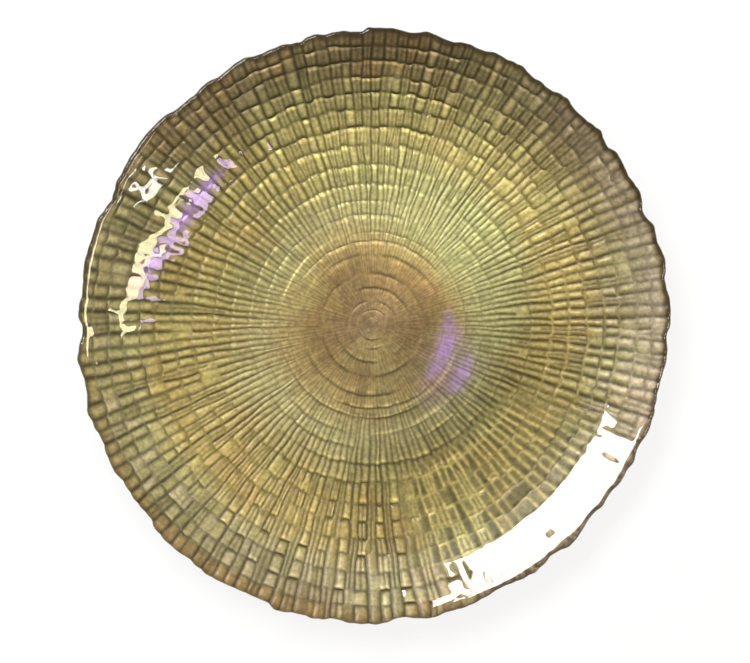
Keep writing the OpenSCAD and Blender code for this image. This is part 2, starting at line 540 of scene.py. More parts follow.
        return Relief(height, rib * pressed, depth * groove * pressed, depth * ridge, centre)

    def wobble(self, strip: np.ndarray, band: int, share: float) -> np.ndarray:
        """Gives the cell-sized waves of the fire-polished face.

        Args:
            strip: strip numbers.
            band: number of the band.
            share: share of the way across the band.

        Returns:
            The height of the wave at each place, from -1 to 1.
        """
        whole, across = strip_parts(strip)
        along = smooth_step(across, 0.0, 1.0)
        inner, outer = (
            (1 - along) * self._drawn("wobble", whole, ring) + along * self._drawn("wobble", whole + 1, ring)
            for ring in (band, band + 1)
        )
        outward = smooth_step(share, 0.0, 1.0)
        return (1 - outward) * inner + outward * outer

    def tone(self, strip: np.ndarray, band: int) -> np.ndarray:
        """Gives the shade of each cell, from -1 to 1, for the film's colour."""
        return self._drawn("tone", strip_parts(strip)[0], band)

    def edge_r(self, strip: np.ndarray) -> np.ndarray:
        """Gives the radius of the plate's edge, where each strip's end bulges a little.

        Args:
            strip: strip numbers.

        Returns:
            The edge's radius at each place.
        """
        whole, across = strip_parts(strip)
        bearing = np.degrees(self.bearings(strip, np.full_like(strip, self.form.plate_r)))
        bulge = self._drawn("bulge", whole) * np.sin(np.pi * across)
        return self.form.edge_r(bearing) + self.edge_bulge_mm * (bulge - self.edge_bulge_middle)


@dataclass
class RolledSheet:
    """A flat grid, rolled round the plate's axis: columns run round it, and rows across a closed profile."""

    name: str
    columns: int
    rows: int
    seam_m: float = 1e-7
    smooth_deg: float = 60.0

    def build(self, places: np.ndarray, values: dict[str, np.ndarray]) -> bpy.types.Object:
        """Adds the grid, rolls it up and closes its seams.

        Args:
            places: each point in millimetres, by row and column, with the first column repeated last.
            values: numbers to store on the mesh, by name, each by row and column.

        Returns:
            The closed piece.
        """
        bpy.ops.object.select_all(action="DESELECT")
        bpy.ops.mesh.primitive_grid_add(x_subdivisions=self.columns, y_subdivisions=self.rows - 1, size=1)
        piece = bpy.context.object
        piece.name = piece.data.name = self.name
        mesh = piece.data
        flat = np.empty(3 * len(mesh.vertices), dtype=np.float32)
        mesh.vertices.foreach_get("co", flat)
        flat = flat.reshape(-1, 3)
        column = np.rint((flat[:, 0] + 0.5) * self.columns).astype(int)
        row = np.rint((flat[:, 1] + 0.5) * (self.rows - 1)).astype(int)
        mesh.vertices.foreach_set("co", (places[row, column] * MM).astype(np.float32).ravel())
        for key, numbers in values.items():
            layer = mesh.attributes.new(key, "FLOAT", "POINT")
            layer.data.foreach_set("value", numbers[row, column].astype(np.float32))
        mesh.update()
        bpy.ops.object.mode_set(mode="EDIT")
        bpy.ops.mesh.select_all(action="SELECT")
        bpy.ops.mesh.remove_doubles(threshold=self.seam_m)
        bpy.ops.mesh.normals_make_consistent(inside=False)
        bpy.ops.object.mode_set(mode="OBJECT")
        bpy.ops.object.shade_smooth_by_angle(angle=math.radians(self.smooth_deg))
        return piece


class FilmZone(Enum):
    """The pieces of the lustre film: name, first band, band after the last, columns per strip."""

    EYE = ("lustre_eye", 0, 7, 4)
    WELL = ("lustre_well", 7, 12, 8)
    SHOULDER = ("lustre_shoulder", 12, 16, 8)
    RIM = ("lustre_rim", 16, 20, 8)


def strip_columns(rib_count: int, per_strip: int) -> np.ndarray:
    """Places the mesh columns closer together beside each radial groove.

    Args:
        rib_count: how many strips go round.
        per_strip: how many columns each strip has, 4 or 8.

    Returns:
        The strip number of each column, with the first one repeated a turn later.
    """
    shares = {4: [0, 0.2, 0.5, 0.8], 8: [0, 0.09, 0.22, 0.38, 0.5, 0.62, 0.78, 0.91]}[per_strip]
    columns = [strip + share for strip in range(rib_count) for share in shares]
    return np.array(columns + [rib_count], dtype=float)


@dataclass(frozen=True)
class FilmRow:
    """One row of the film: how far each place is from the axis and the edge, its bearing, weave and shade."""

    radius: np.ndarray
    bearing: np.ndarray
    to_edge: np.ndarray
    relief: Relief
    cell: np.ndarray

    def within(self, patch: Patch) -> np.ndarray:
        """Gives how strong a patch is along the row."""
        return patch.share(self.radius, self.bearing)


@dataclass
class LustreFilm:
    """The lustre film on the plate's back, in rings of the pattern that meet in its grooves."""

    weave: Weave
    relief_mm: float = 1.15
    # Depth of the relief in the middle, as a share, and the radii between which it grows to all of it
    middle_relief_share: float = 0.22
    relief_reach: tuple[float, float] = (30.0, 115.0)
    # What the backlit and the softened patch take from it, and the depth of the relief on the film's own back
    patch_relief_loss: float = 0.5
    back_relief_share: float = 0.6
    skin_mm: float = 0.06
    edge_gap_mm: float = 0.5
    # How far the film lies outside the foot ring's sides, above its flat, and above the table elsewhere
    foot_grow_mm: float = 0.12
    foot_flat_z: float = 0.15
    least_z: float = 0.02
    row_shares: tuple[float, ...] = (0, 0.07, 0.17, 0.32, 0.5, 0.68, 0.83, 0.93)
    # Violet patches, painted reflections of the lamps in the iridescent lustre: radius, half width, bearing,
    # half length in degrees, outward drift per degree, strength
    violet_reflections: tuple[tuple[float, float, float, float, float, float], ...] = (
        (43.6, 4.8, -17, 30, 0, 0.75),
        (58.5, 4.4, -30, 14, 0, 0.72),
        (50, 13, -30, 32, 0, 0.2),
        (121.5, 4.8, 144, 11.5, 0, 1),
        (130, 4.4, 164.5, 9, 0.9, 1),
    )
    # Painted highlights and shade on rings that catch the light or lie in shade: radius, bearing, half length
    # in degrees, gain in lightness
    glints: tuple[tuple[float, float, float, float], ...] = (
        (52.7, 137, 36, 0.24), (40.9, 137, 22, 0.18), (49.6, -45, 34, 0.24), (61.5, -66, 30, 0.18),
        (70, -40, 15, 0.16), (29, -25, 20, 0.16), (41.4, -17, 18, 0.16), (8.4, 150, 60, 0.1),
        (13.4, 165, 50, 0.12), (13.4, -40, 50, 0.1), (47.5, 62, 30, -0.13), (39, 64, 27, -0.11),
        (21, 60, 42, -0.1), (29.3, 269, 25, -0.1), (38.6, 267, 24, -0.11), (51, 265, 12, -0.1),
        (8.4, 262, 40, -0.09),
    )
    glint_half_mm: float = 0.8
    glint_gain: float = 2.4
    # Painted sheen and shade: how much lighter or darker the lustre is painted in each patch over the plate
    painted_sheen_and_shade: Patches = (
        (0.2, Patch(65, 2, -1, 0, 40, 75)), (-0.26, Patch(-25, 2, 5, 25, 35, 60)),
        (-0.3, Patch(-50, 1.5, 35, 55, 120, 155)), (0.19, Patch(75, 1.2, 45, 70, 90, 115)),
        (0.2, Patch(40, 3, 90, 105, 130, 150)), (-0.25, Patch(118, 1.4, 105, 130, 140, 168)),
        (-0.28, Patch(80, 2, 138, 155, 180, 190)), (-0.12, Patch(42, 3, 144, 152, 180, 190)),
        (0.12, Patch(225, 4, 92, 105, 128, 142)), (-0.15, Patch(195, 2, 130, 145, 180, 190)),
        (0.18, Patch(50, 4, -1, 8, 44, 52)), (-0.1, Patch(275, 2, 126, 142, 180, 190)),
        (-0.08, Patch(150, 3, 95, 108, 118, 135)), (-0.18, Patch(-5, 4, 115, 135, 180, 190)),
        (0.05, Patch(228, 2, 100, 120, 140, 152)), (-0.07, Patch(-45, 4, 100, 120, 180, 190)),
        (-0.11, Patch(142, 3, 52, 60, 148, 158)), (-0.1, Patch(182, 4, 95, 105, 130, 142)),
        (0.06, Patch(45, 2, 0, 5, 50, 60)), (0.09, Patch(62, 2, 122, 138, 180, 190)),
    )
    # Where the lustre is greener: the well's upper right, a little of the lower right, the top and the left
    mosses: Patches = (
        (0.6, Patch(42, 4, 42, 58, 85, 105)),
        (0.12, Patch(-45, 4, 65, 90, 150, 160)),
        (0.3, Patch(85, 2, 66, 82, 125, 142)),
        (0.35, Patch(200, 2, 115, 140, 165, 170)),
    )
    # Where the film lies thin and the light through it is painted in as a paler colour: how thin, where, how
    # much more so on light cells, and the least shade for it
    thin_pale_patches: tuple[tuple[float, Patch, float, float], ...] = (
        (0.62, Patch(5, 3, 141, 157, 161, 164), 0.3, -1),
        (0.12, Patch(245, 2, 124, 142, 156, 160), 1, -1),
        (0.2, Patch(195, 2, 128, 142, 156, 160), 0, 0.45),
        (0.3, Patch(-14, 10, 124, 134, 148, 156), 0, 0),
    )
    palest: float = 0.85
    # Where painted light comes up through the grooves, so that they look paler than the cells: the lower
    # right
    backlight: Patch = Patch(-52, 6, 70, 95, 140, 158)
    # Where the pressing is shallow: the right edge
    softened: Patch = Patch(5, 3, 134, 152, 180, 190)
    # Where the painted shade of the ribs is broad and dark: the upper right of the rim
    dark_rib_shade: Patch = Patch(62, 2, 112, 132, 180, 190)
    # Where the painted edge shade gives way to a coppery brown band: the lower left
    copper_band_patch: Patch = Patch(236, 3, 156, 161, 180, 190)
    # Where the painted edge shade, a dark line along the film's edge for the shade of the rounded glass edge,
    # is broader and uneven, and that line's width elsewhere
    broad_edge_shade: Patch = Patch(105, 2, 140, 150, 180, 190)
    painted_edge_line_mm: float = 3.4
    # Lightness of a plain crest, how far cells differ, how much lighter a crest is painted than a flank, and
    # the painted highlight on a ring's ridge
    plain_tone: float = 1.05
    cell_gain: float = 0.06
    painted_crest_highlight: float = 0.3
    painted_ridge_highlight: float = 0.5
    # Painted highlight: how much lighter the middle of a cell is painted than its border
    painted_pillow_highlight: float = 0.32

    def _row(self, strip: np.ndarray, band: int, share: float) -> FilmRow:
        """Places one row of the film.

        Args:
            strip: strip numbers.
            band: number of the band.
            share: share of the way across the band.

        Returns:
            The row.
        """
        weave = self.weave
        edge_r = weave.edge_r(strip)
        inner = weave.ring_radius(band, strip, bulge_share=1.0)
        if band < len(weave.form.ring_radii()):
            outer = weave.ring_radius(band + 1, strip, bulge_share=1.0)
        else:
            outer = edge_r - self.edge_gap_mm
        radius = inner + share * (outer - inner)
        relief, cell = weave.relief(strip, band, share), weave.tone(strip, band)
        return FilmRow(radius, weave.bearings(strip, radius), edge_r - radius, relief, cell)

    def _backlit(self, row: FilmRow) -> np.ndarray:
        """Gives how far the grooves are painted as lit from below, with a short change at the patch's border.
        """
        return smooth_step(row.within(self.backlight), 0.3, 0.7)

    def _heights(self, row: FilmRow) -> tuple[np.ndarray, np.ndarray]:
        """Gives the heights of the film's two faces.

        Args:
            row: one row of the film.

        Returns:
            The height of the face against the glass, and of the film's back.
        """
        form, middle = self.weave.form, self.middle_relief_share
        depth = self.relief_mm * (middle + (1 - middle) * smooth_step(row.radius, *self.relief_reach))
        for patch in (self._backlit(row), row.within(self.softened)):
            depth = depth * (1 - self.patch_relief_loss * patch)
        # Near the edge the glass rounds up
        round_r = form.edge_t / 2
        run = np.clip(round_r - row.to_edge, 0, round_r)
        base = form.under_z(row.radius) + round_r - np.sqrt(round_r**2 - run**2)
        back = self.back_relief_share * depth * (1 - row.relief.height)
        under = base - self.skin_mm - back - form.foot_drop(row.radius, self.foot_grow_mm)
        flat = np.abs(row.radius - form.foot_r) < form.foot_w / 2 - form.foot_chamfer
        under = np.where(flat, self.foot_flat_z, np.maximum(under, self.least_z))
        return base + self.skin_mm + depth * row.relief.height, under

    def _violet_reflection_share(self, row: FilmRow) -> np.ndarray:
        """Gives how violet the lustre is painted where it reflects the lamps: two patches in the well, and a
        broken band along the rim.

        Args:
            row: one row of the film.

        Returns:
            0 for gold, up to 1 for violet.
        """
        total = np.zeros(row.radius.shape)
        for patch_r, half_w, middle_deg, half_deg, drift, strength in self.violet_reflections:
            off = degrees_off(row.bearing, middle_deg)
            taper = np.sqrt(np.clip(1 - (off / half_deg) ** 2, 0, 1))
            ring = np.exp(-(((row.radius - patch_r - drift * off) / (half_w * taper + 0.01)) ** 2))
            total = total + strength * ring * taper
        return np.clip(total, 0, 1)

    def _glint(self, row: FilmRow) -> np.ndarray:
        """Gives how much lighter or darker the rings of the middle are painted, where they catch the light or
        lie in shade.

        Args:
            row: one row of the film.

        Returns:
            The change of lightness at each place.
        """
        total = np.zeros(row.radius.shape)
        for ring_r, middle_deg, half_deg, gain in self.glints:
            fade = smooth_step(1 - np.abs(degrees_off(row.bearing, middle_deg)) / half_deg, 0.0, 0.5)
            ring = np.exp(-(((row.radius - ring_r) / self.glint_half_mm) ** 2))
            total = total + self.glint_gain * gain * fade * ring
        return total

    def _thin_paleness(self, row: FilmRow) -> np.ndarray:
        """Gives how thin the film lies near the edge, painted as a paler colour where light shows through it.

        Args:
            row: one row of the film.

        Returns:
            0 for the full film, up to 1 for none.
        """
        total = np.zeros(row.radius.shape)
        for strength, patch, gain, least in self.thin_pale_patches:
            total = total + strength * row.within(patch) * (1 + gain * row.cell) * (row.cell > least)
        return np.clip(total, 0, self.palest)

    def _lines(self, row: FilmRow) -> tuple[np.ndarray, np.ndarray]:
        """Paints shade into the weave's lines: light from the top picks out those that run left and right.

        Args:
            row: one row of the film.

        Returns:
            The painted shade, 1 in the darkest groove, and how much lighter the ridges and the pale rings are
            painted.
        """
        relief, side, top = row.relief, np.cos(row.bearing) ** 2, toward(row.bearing, 90.0, 1.0)
        dashed, dark = row.within(self.weave.dashed), row.within(self.dark_rib_shade)
        ribbed = self.weave.ribbed_share(row.radius, row.bearing)
        ribs = relief.rib ** (1 - 0.4 * dark) * (0.8 + 0.2 * np.maximum(np.maximum(side, ribbed), dark))
        rings = relief.ring ** (0.6 + 0.4 * side) * (1 - 0.85 * side) * (1 - dashed) * (1 - 0.6 * ribbed)
        ridges = self.painted_ridge_highlight * (1 - side) * relief.ridge * (1 + 1.2 * row.cell) * (1 + 0.7 * top)
        return 1 - (1 - ribs) * (1 - rings), ridges + (0.16 * side + 0.22 * dashed) * relief.ring

    def _paint(self, row: FilmRow) -> dict[str, np.ndarray]:
        """Gives the numbers that colour one row of the film.

        Args:
            row: the row.

        Returns:
            The painted shade, the lightness with painted highlights, the painted violet reflection, and how
            thin, green and coppery.
        """
        backlit, copper_band_share = self._backlit(row), row.within(self.copper_band_patch)
        shade, line = self._lines(row)
        # Painted shade in the grooves, lighter in the backlit and softened patches
        groove = shade * (1 - 0.9 * backlit) * (1 - 0.55 * row.within(self.softened))
        # Painted edge shade: a dark line along the film's edge
        edge_shade_mm = self.painted_edge_line_mm * (1 + row.within(self.broad_edge_shade) * (0.4 + 0.4 * row.cell))
        edge = 1 - smooth_step(row.to_edge, 0.5 * edge_shade_mm, edge_shade_mm)
        # Painted highlights and shade in the tone: lighter crests and cell middles, ridges and pale rings,
        # sheen patches, glints, and the backlit net
        crest = self.painted_crest_highlight * (row.relief.height - 0.75) * (1 - backlit)
        crest = crest + self.painted_pillow_highlight * (row.relief.centre - 0.5)
        light = sum(gain * row.within(patch) for gain, patch in self.painted_sheen_and_shade) + self._glint(row)
        tone = self.plain_tone + self.cell_gain * row.cell + crest + line + light
        return {
            "hollow": np.maximum(groove, (0.9 - 0.6 * copper_band_share) * edge),
            "tone": tone + backlit * (1.2 * shade - 0.45),
            "violet_reflection": self._violet_reflection_share(row) * (0.75 + 0.25 * row.cell),
            "pale": self._thin_paleness(row),
            "moss": sum(share * row.within(patch) for share, patch in self.mosses),
            "copper_band": 0.8 * copper_band_share,
        }

    def build(self, zone: FilmZone) -> bpy.types.Object:
        """Makes one ring of the film as a closed skin with the weave on both faces.

        Args:
            zone: which bands of the pattern it covers.

        Returns:
            The piece.
        """
        name, first, last, per_strip = zone.value
        strip = strip_columns(self.weave.form.rib_count, per_strip)
        rows = [(band, share) for band in range(first, last) for share in self.row_shares]
        rows.append((last - 1, 1.0) if last > len(self.weave.form.ring_radii()) else (last, 0.0))
        upper, lower, paint = [], [], []
        for band, share in rows:
            row = self._row(strip, band, share)
            over, under = self._heights(row)
            upper.append(polar_points(row.radius, row.bearing, over))
            lower.append(polar_points(row.radius, row.bearing, under))
            paint.append(self._paint(row))
        places, paint = upper + lower[::-1], paint + paint[::-1]
        if first > 0:
            places.append(upper[0])
            paint.append(paint[0])
        sheet = RolledSheet(name, len(strip) - 1, len(places))
        return sheet.build(np.array(places), {key: np.array([row[key] for row in paint]) for key in paint[0]})


@dataclass
class GlassPlate:
    """The clear pressing: a softly dimpled upper face, a fire-polished round edge and a plain lower face."""

    weave: Weave
    per_strip: int = 4
    dimple_mm: float = 0.05
    wobble_mm: float = 0.1
    wobble_reach: tuple[float, float] = (30.0, 90.0)
    ripple_mm: float = 0.1
    ripple_reach: tuple[float, float] = (0.0, 60.0)
    # Slow waves that fire-polishing leaves: radians per millimetre east and north, and phase
    ripples: tuple[tuple[float, float, float], ...] = (
        (0.31, 0.11, 0.4), (-0.17, 0.27, 1.9), (0.09, -0.36, 3.3), (0.41, 0.22, 5.1), (-0.24, -0.15, 0.8),
    )
    # How closely the slopes' corners follow the wandering rings
    step_share: float = 0.4
    # How strongly the upper face waves away from the upper left, where it waves most
    calm_share: float = 0.08
    row_shares: tuple[float, ...] = (0, 0.25, 0.5, 0.75)
    round_steps: int = 8
    # Radii between which the rows of the lower face turn from circles to the wavy outline
    wavy_reach: tuple[float, float] = (140.0, 163.0)

    def build(self) -> bpy.types.Object:
        """Makes the glass as one closed piece.

        Returns:
            The piece.
        """
        form = self.weave.form
        strip = strip_columns(form.rib_count, self.per_strip)
        turn_r = self.weave.edge_r(strip) - form.edge_t / 2
        places = self._upper_face(strip, turn_r)
        edge_bearing = self.weave.bearings(strip, np.full_like(strip, form.plate_r))
        top, under = form.top_z(turn_r), form.under_z(turn_r)
        for step in range(self.round_steps + 1):
            lean = math.pi * (0.5 - step / self.round_steps)
            radius = turn_r + form.edge_t / 2 * math.cos(lean)
            height = (top + under) / 2 + (top - under) / 2 * math.sin(lean)
            places.append(polar_points(radius, edge_bearing, height))
        for nominal in self._under_radii():
            radius = nominal + (turn_r - form.plate_r) * smooth_step(nominal, *self.wavy_reach)
            bearing = self.weave.bearings(strip, np.minimum(radius, turn_r))
            places.append(polar_points(radius, bearing, form.under_z(radius) - form.foot_drop(radius, 0.0)))
        return RolledSheet("glass_plate", len(strip) - 1, len(places)).build(np.array(places), {})

    def _upper_face(self, strip: np.ndarray, turn_r: np.ndarray) -> list[np.ndarray]:
        """Gives the rows of the upper face, from the axis out.

        Args:
            strip: strip numbers.
            turn_r: radius at which the edge starts to turn down.

        Returns:
            The points of each row.
        """
        form, weave, places = self.weave.form, self.weave, []
        radii = np.concatenate([[0], form.ring_radii(), [form.plate_r]])
        last = len(radii) - 2
        for band in range(last + 1):
            inner = weave.ring_radius(band, strip)
            outer = weave.ring_radius(band + 1, strip) if band < last else turn_r
            for share in self.row_shares:
                radius = inner + share * (outer - inner)
                bearing = weave.bearings(strip, radius)
                waving = self._waving(bearing)
                dimple = self.dimple_mm * (1 + waving) * (weave.relief(strip, band, share).height - 0.7)
                fade = 1 - smooth_step(radius, turn_r - 6, turn_r - 1)
                stray = (1 - share) * (radii[band] - inner)
                stray = stray + share * (radii[band + 1] - outer) * (band < last)
                level = radius + self.step_share * fade * stray
                wobble = weave.wobble(strip, band, share) * smooth_step(radius, *self.wobble_reach)
                wave = dimple + waving * (self.wobble_mm * wobble + self._ripple(radius, bearing))
                places.append(polar_points(radius, bearing, form.top_z(level) + fade * wave))
        return places

    def _ripple(self, radius: np.ndarray, bearing: np.ndarray) -> np.ndarray:
        """Gives the slow waves that fire-polishing leaves.

        Args:
            radius: distances from the axis.
            bearing: bearings in radians.

        Returns:
            Their height at each place.
        """
        east, north = radius * np.cos(bearing), radius * np.sin(bearing)
        swing = sum(np.sin(fx * east + fy * north + phase) for fx, fy, phase in self.ripples) / 2
        return self.ripple_mm * swing * smooth_step(radius, *self.ripple_reach)

    def _waving(self, bearing: np.ndarray) -> np.ndarray:
        """Gives how strongly the upper face waves: most on the photograph's upper left."""
        return self.calm_share + (1 - self.calm_share) * toward(bearing, 158.0, 2.0)

    def _under_radii(self) -> list[float]:
        """Gives where the rows of the lower face lie.

        Returns:
            Their radii, from the edge in to the axis.
        """
        form = self.weave.form
        half_w = form.foot_w / 2
        steps = np.array([half_w + form.foot_root_w, half_w, half_w - form.foot_chamfer])
        outer = np.linspace(form.plate_r - 2, form.well_r, 22)
        inner = np.linspace(form.foot_r - 8, 0, 8)
        return [*outer, form.well_r - 4, *(form.foot_r + steps), *(form.foot_r - steps[::-1]), *inner]


def add_node(
    tree: bpy.types.NodeTree, kind: str, inputs: dict[str | int, object] | None = None, **settings: object
) -> bpy.types.Node:
    """Adds a shader node with its settings, values and links.

    Args:
        tree: the node tree to add it to.
        kind: the node's type name, after "ShaderNode".
        inputs: for each named or numbered input a value, an output, or a node whose first output it takes.
        **settings: values for the node's own properties.

    Returns:
        The node.
    """
    node = tree.nodes.new(f"ShaderNode{kind}")
    for key, value in settings.items():
        setattr(node, key, value)
    for key, value in (inputs or {}).items():
        if isinstance(value, bpy.types.Node):
            value = value.outputs[0]
        if isinstance(value, bpy.types.NodeSocket):
            tree.links.new(value, node.inputs[key])
        else:
            node.inputs[key].default_value = value
    return node


def new_material(name: str) -> tuple[bpy.types.Material, bpy.types.NodeTree]:
    """Makes an empty node material.

    Args:
        name: the material's name.

    Returns:
        The material and its node tree.
    """
    material = bpy.data.materials.new(name)
    material.use_nodes = True
    material.node_tree.nodes.clear()
    return material, material.node_tree


@dataclass(frozen=True)
class LustreFinish:
    """Iridescent lustre: a metal-oxide film, sprayed on hot and matte-bright like old brass."""

    # The painted shade in the grooves: its colour, how sharply it deepens, and its most
    groove: str = "#2E2408"
    groove_power: float = 1.15
    groove_most: float = 0.88
    violet: str = "#A889CC"
    # The mesh's own numbers that say where the film is greener, where it lies thin with the light through it
    # painted paler, and where the edge band is coppery, and the colour of each
    tints: tuple[tuple[str, str], ...] = (("moss", "#AEB47C"), ("pale", "#C6B8A2"), ("copper_band", "#937A50"))
    rough: float = 0.36
    metal: float = 0.1
    specular: float = 0.25
    specular_tint: str = "#E6D8E8"
    # Radius and colour of each zone, from the middle out, and the radius at which the ramp ends
    zones: tuple[tuple[float, str], ...] = (
        (0.0, "#7D6A4D"),
        (32.0, "#8A744D"),
        (46.0, "#A79464"),
        (64.0, "#B2AB7B"),
        (90.0, "#A89A61"),
        (120.0, "#A3925B"),
        (140.0, "#998D66"),
        (156.0, "#948362"),
        (163.0, "#7A6A4E"),
    )
    ramp_r: float = 170.0
    # How far the zones drift in and out, the size of the drift, and the radii between which it fades away
    drift_mm: float = 26.0
    drift_size_mm: float = 71.43
    drift_reach: tuple[float, float] = (120.0, 150.0)
    # Broad patches of uneven spraying: size, where the noise begins and is full, its most and its colour
    clouds: tuple[tuple[float, float, float, float, str], ...] = (
        (29.41, 0.5, 0.72, 0.22, "#B78C4C"),
        (45.45, 0.5, 0.7, 0.25, "#B2BA80"),
    )
    # Mottling and grain. The film's own grain is far too fine to show, so both are drawn coarser.
    mottle_size_mm: float = 2.222
    mottle_share: float = 0.2
    grain_size_mm: float = 1.111
    grain_mm: float = 0.4

    def _zoned(self, tree: bpy.types.NodeTree, place: bpy.types.NodeSocket) -> bpy.types.NodeSocket:
        """Colours the film by its distance from the axis, with a drift, broad patches and the mesh's tints.

        Args:
            tree: the material's node tree.
            place: the object coordinates.

        Returns:
            The colour's socket.
        """
        split = add_node(tree, "SeparateXYZ", {0: place})
        flat = add_node(tree, "CombineXYZ", {0: split.outputs[0], 1: split.outputs[1]})
        radius = add_node(tree, "VectorMath", {0: flat}, operation="LENGTH").outputs["Value"]
        noise = {"Vector": place, "Scale": 1 / (self.drift_size_mm * MM), "Detail": 3.0}
        drift = add_node(tree, "TexNoise", noise)
        full_r, end_r = self.drift_reach
        limits = {"From Min": end_r * MM, "From Max": full_r * MM, "To Max": self.drift_mm * MM}
        swing = add_node(tree, "MapRange", {"Value": radius, **limits}, interpolation_type="SMOOTHSTEP")
        off = add_node(tree, "Math", {0: drift, 1: 0.5}, operation="SUBTRACT")
        drifted = add_node(tree, "Math", {0: off, 1: swing, 2: radius}, operation="MULTIPLY_ADD")
        share = add_node(tree, "Math", {0: drifted, 1: self.ramp_r * MM}, operation="DIVIDE")
        ramp = add_node(tree, "ValToRGB", {0: share})
        while len(ramp.color_ramp.elements) < len(self.zones):
            ramp.color_ramp.elements.new(0.5)
        for element, (zone_r, colour) in zip(ramp.color_ramp.elements, self.zones):
            element.position, element.color = zone_r / self.ramp_r, linear(colour)
        colour, layers = ramp.outputs[0], []
        for size_mm, low, high, most, tint in self.clouds:
            noise = add_node(tree, "TexNoise", {"Vector": place, "Scale": 1 / (size_mm * MM), "Detail": 2.0})
            limits = {"From Min": low, "From Max": high, "To Max": most}
            layers.append((add_node(tree, "MapRange", {"Value": noise, **limits}), tint))
        for key, tint in self.tints:
            layers.append((add_node(tree, "Attribute", attribute_name=key).outputs["Fac"], tint))
        for much, tint in layers:
            colour = add_node(tree, "Mix", {0: much, 6: colour, 7: linear(tint)}, data_type="RGBA").outputs[2]
        return colour

    def material(self) -> bpy.types.Material:
        """Builds the film's material.

        Returns:
            The material.
        """
        material, tree = new_material("iridescent_gold_lustre")
        place = add_node(tree, "TexCoord").outputs["Object"]
        painted = (add_node(tree, "Attribute", attribute_name=key) for key in ("hollow", "tone", "violet_reflection"))
        hollow, tone, violet = (node.outputs["Fac"] for node in painted)
        speck, grain = (
            add_node(tree, "TexNoise", {"Vector": place, "Scale": 1 / (size_mm * MM), "Detail": 2.0})
            for size_mm in (self.mottle_size_mm, self.grain_size_mm)
        )
        limits = {"From Min": 0.36, "From Max": 0.64, "To Min": 1 - self.mottle_share}
        mottle = add_node(tree, "MapRange", {"Value": speck, "To Max": 1 + self.mottle_share, **limits})
        # The tone carries the cells' own lightness and the painted highlights and shade
        value = add_node(tree, "Math", {0: tone, 1: mottle}, operation="MULTIPLY")
        shaded = add_node(tree, "HueSaturation", {"Value": value, "Color": self._zoned(tree, place)})
        violet_reflection = add_node(tree, "Math", {0: violet, 1: mottle}, operation="MULTIPLY", use_clamp=True)
        flush = add_node(tree, "Mix", {0: violet_reflection, 6: shaded, 7: linear(self.violet)}, data_type="RGBA")
        # Where the violet reflection is painted, the painted groove shade is less than half as dark
        depth = add_node(tree, "Math", {0: hollow, 1: self.groove_power}, operation="POWER", use_clamp=True)
        most = add_node(tree, "Math", {0: violet_reflection, 1: -0.5, 2: self.groove_most}, operation="MULTIPLY_ADD")
        dark = add_node(tree, "Math", {0: depth, 1: most}, operation="MULTIPLY")
        mixed = {0: dark, 6: flush.outputs[2], 7: linear(self.groove)}
        colour = add_node(tree, "Mix", mixed, data_type="RGBA").outputs[2]
        bump = add_node(tree, "Bump", {"Strength": 0.25, "Distance": self.grain_mm * MM, "Height": grain})
        surface = {
            "Base Color": colour,
            "Metallic": self.metal,
            "Roughness": self.rough,
            "Specular IOR Level": self.specular,
            "Specular Tint": linear(self.specular_tint),
            "Normal": bump,
        }
        add_node(tree, "OutputMaterial", {"Surface": add_node(tree, "BsdfPrincipled", surface)})
        return material


@dataclass(frozen=True)
class GlassFinish:
    """Soda-lime glass, pressed and fire-polished: clear and wet-looking, with a faint warm tint."""

    tint: str = "#FBFAF3"
    ior: float = 1.5

    def material(self) -> bpy.types.Material:
        """Builds the glass. Lamps shine straight through it, so that they light the film behind it.

        Returns:
            The material.
        """
        material, tree = new_material("clear_soda_lime_glass")
        surface = {"Base Color": linear(self.tint), "Roughness": 0.0, "IOR": self.ior}
        glass = add_node(tree, "BsdfPrincipled", {"Transmission Weight": 1.0, **surface})
        clear = add_node(tree, "BsdfTransparent", {"Color": linear(self.tint)})
        path = add_node(tree, "LightPath").outputs
        rays = {0: path["Is Shadow Ray"], 1: path["Is Diffuse Ray"]}
        lit = add_node(tree, "Math", rays, operation="MAXIMUM")
        both = add_node(tree, "MixShader", {0: lit, 1: glass, 2: clear})
        add_node(tree, "OutputMaterial", {"Surface": both})
        return material


@dataclass(frozen=True)
class Softbox:
    """A soft studio lamp that looks at the plate's middle."""

    name: str
    polar_deg: float
    bearing_deg: float
    distance_m: float
    width_m: float
    height_m: float
    radiance: float
    roll_deg: float = 0.0
    colour: str = "#FFFFFF"

    def build(self) -> bpy.types.Object:
        """Adds the lamp.

        Returns:
            The lamp object.
        """
        data = bpy.data.lights.new(self.name, "AREA")
        data.shape, data.size, data.size_y = "RECTANGLE", self.height_m, self.width_m
        data.energy = self.radiance * math.pi * self.width_m * self.height_m
        data.color = linear(self.colour)[:3]
        lamp = bpy.data.objects.new(self.name, data)
        place = world_direction(self.polar_deg, self.bearing_deg) * self.distance_m
        turn = Matrix.Rotation(math.radians(self.bearing_deg), 4, "Z")
        lean = Matrix.Rotation(math.radians(self.polar_deg), 4, "Y")
        roll = Matrix.Rotation(math.radians(self.roll_deg), 4, "Z")
        lamp.matrix_world = Matrix.Translation(place.tolist()) @ turn @ lean @ roll
        bpy.context.scene.collection.objects.link(lamp)
        return lamp


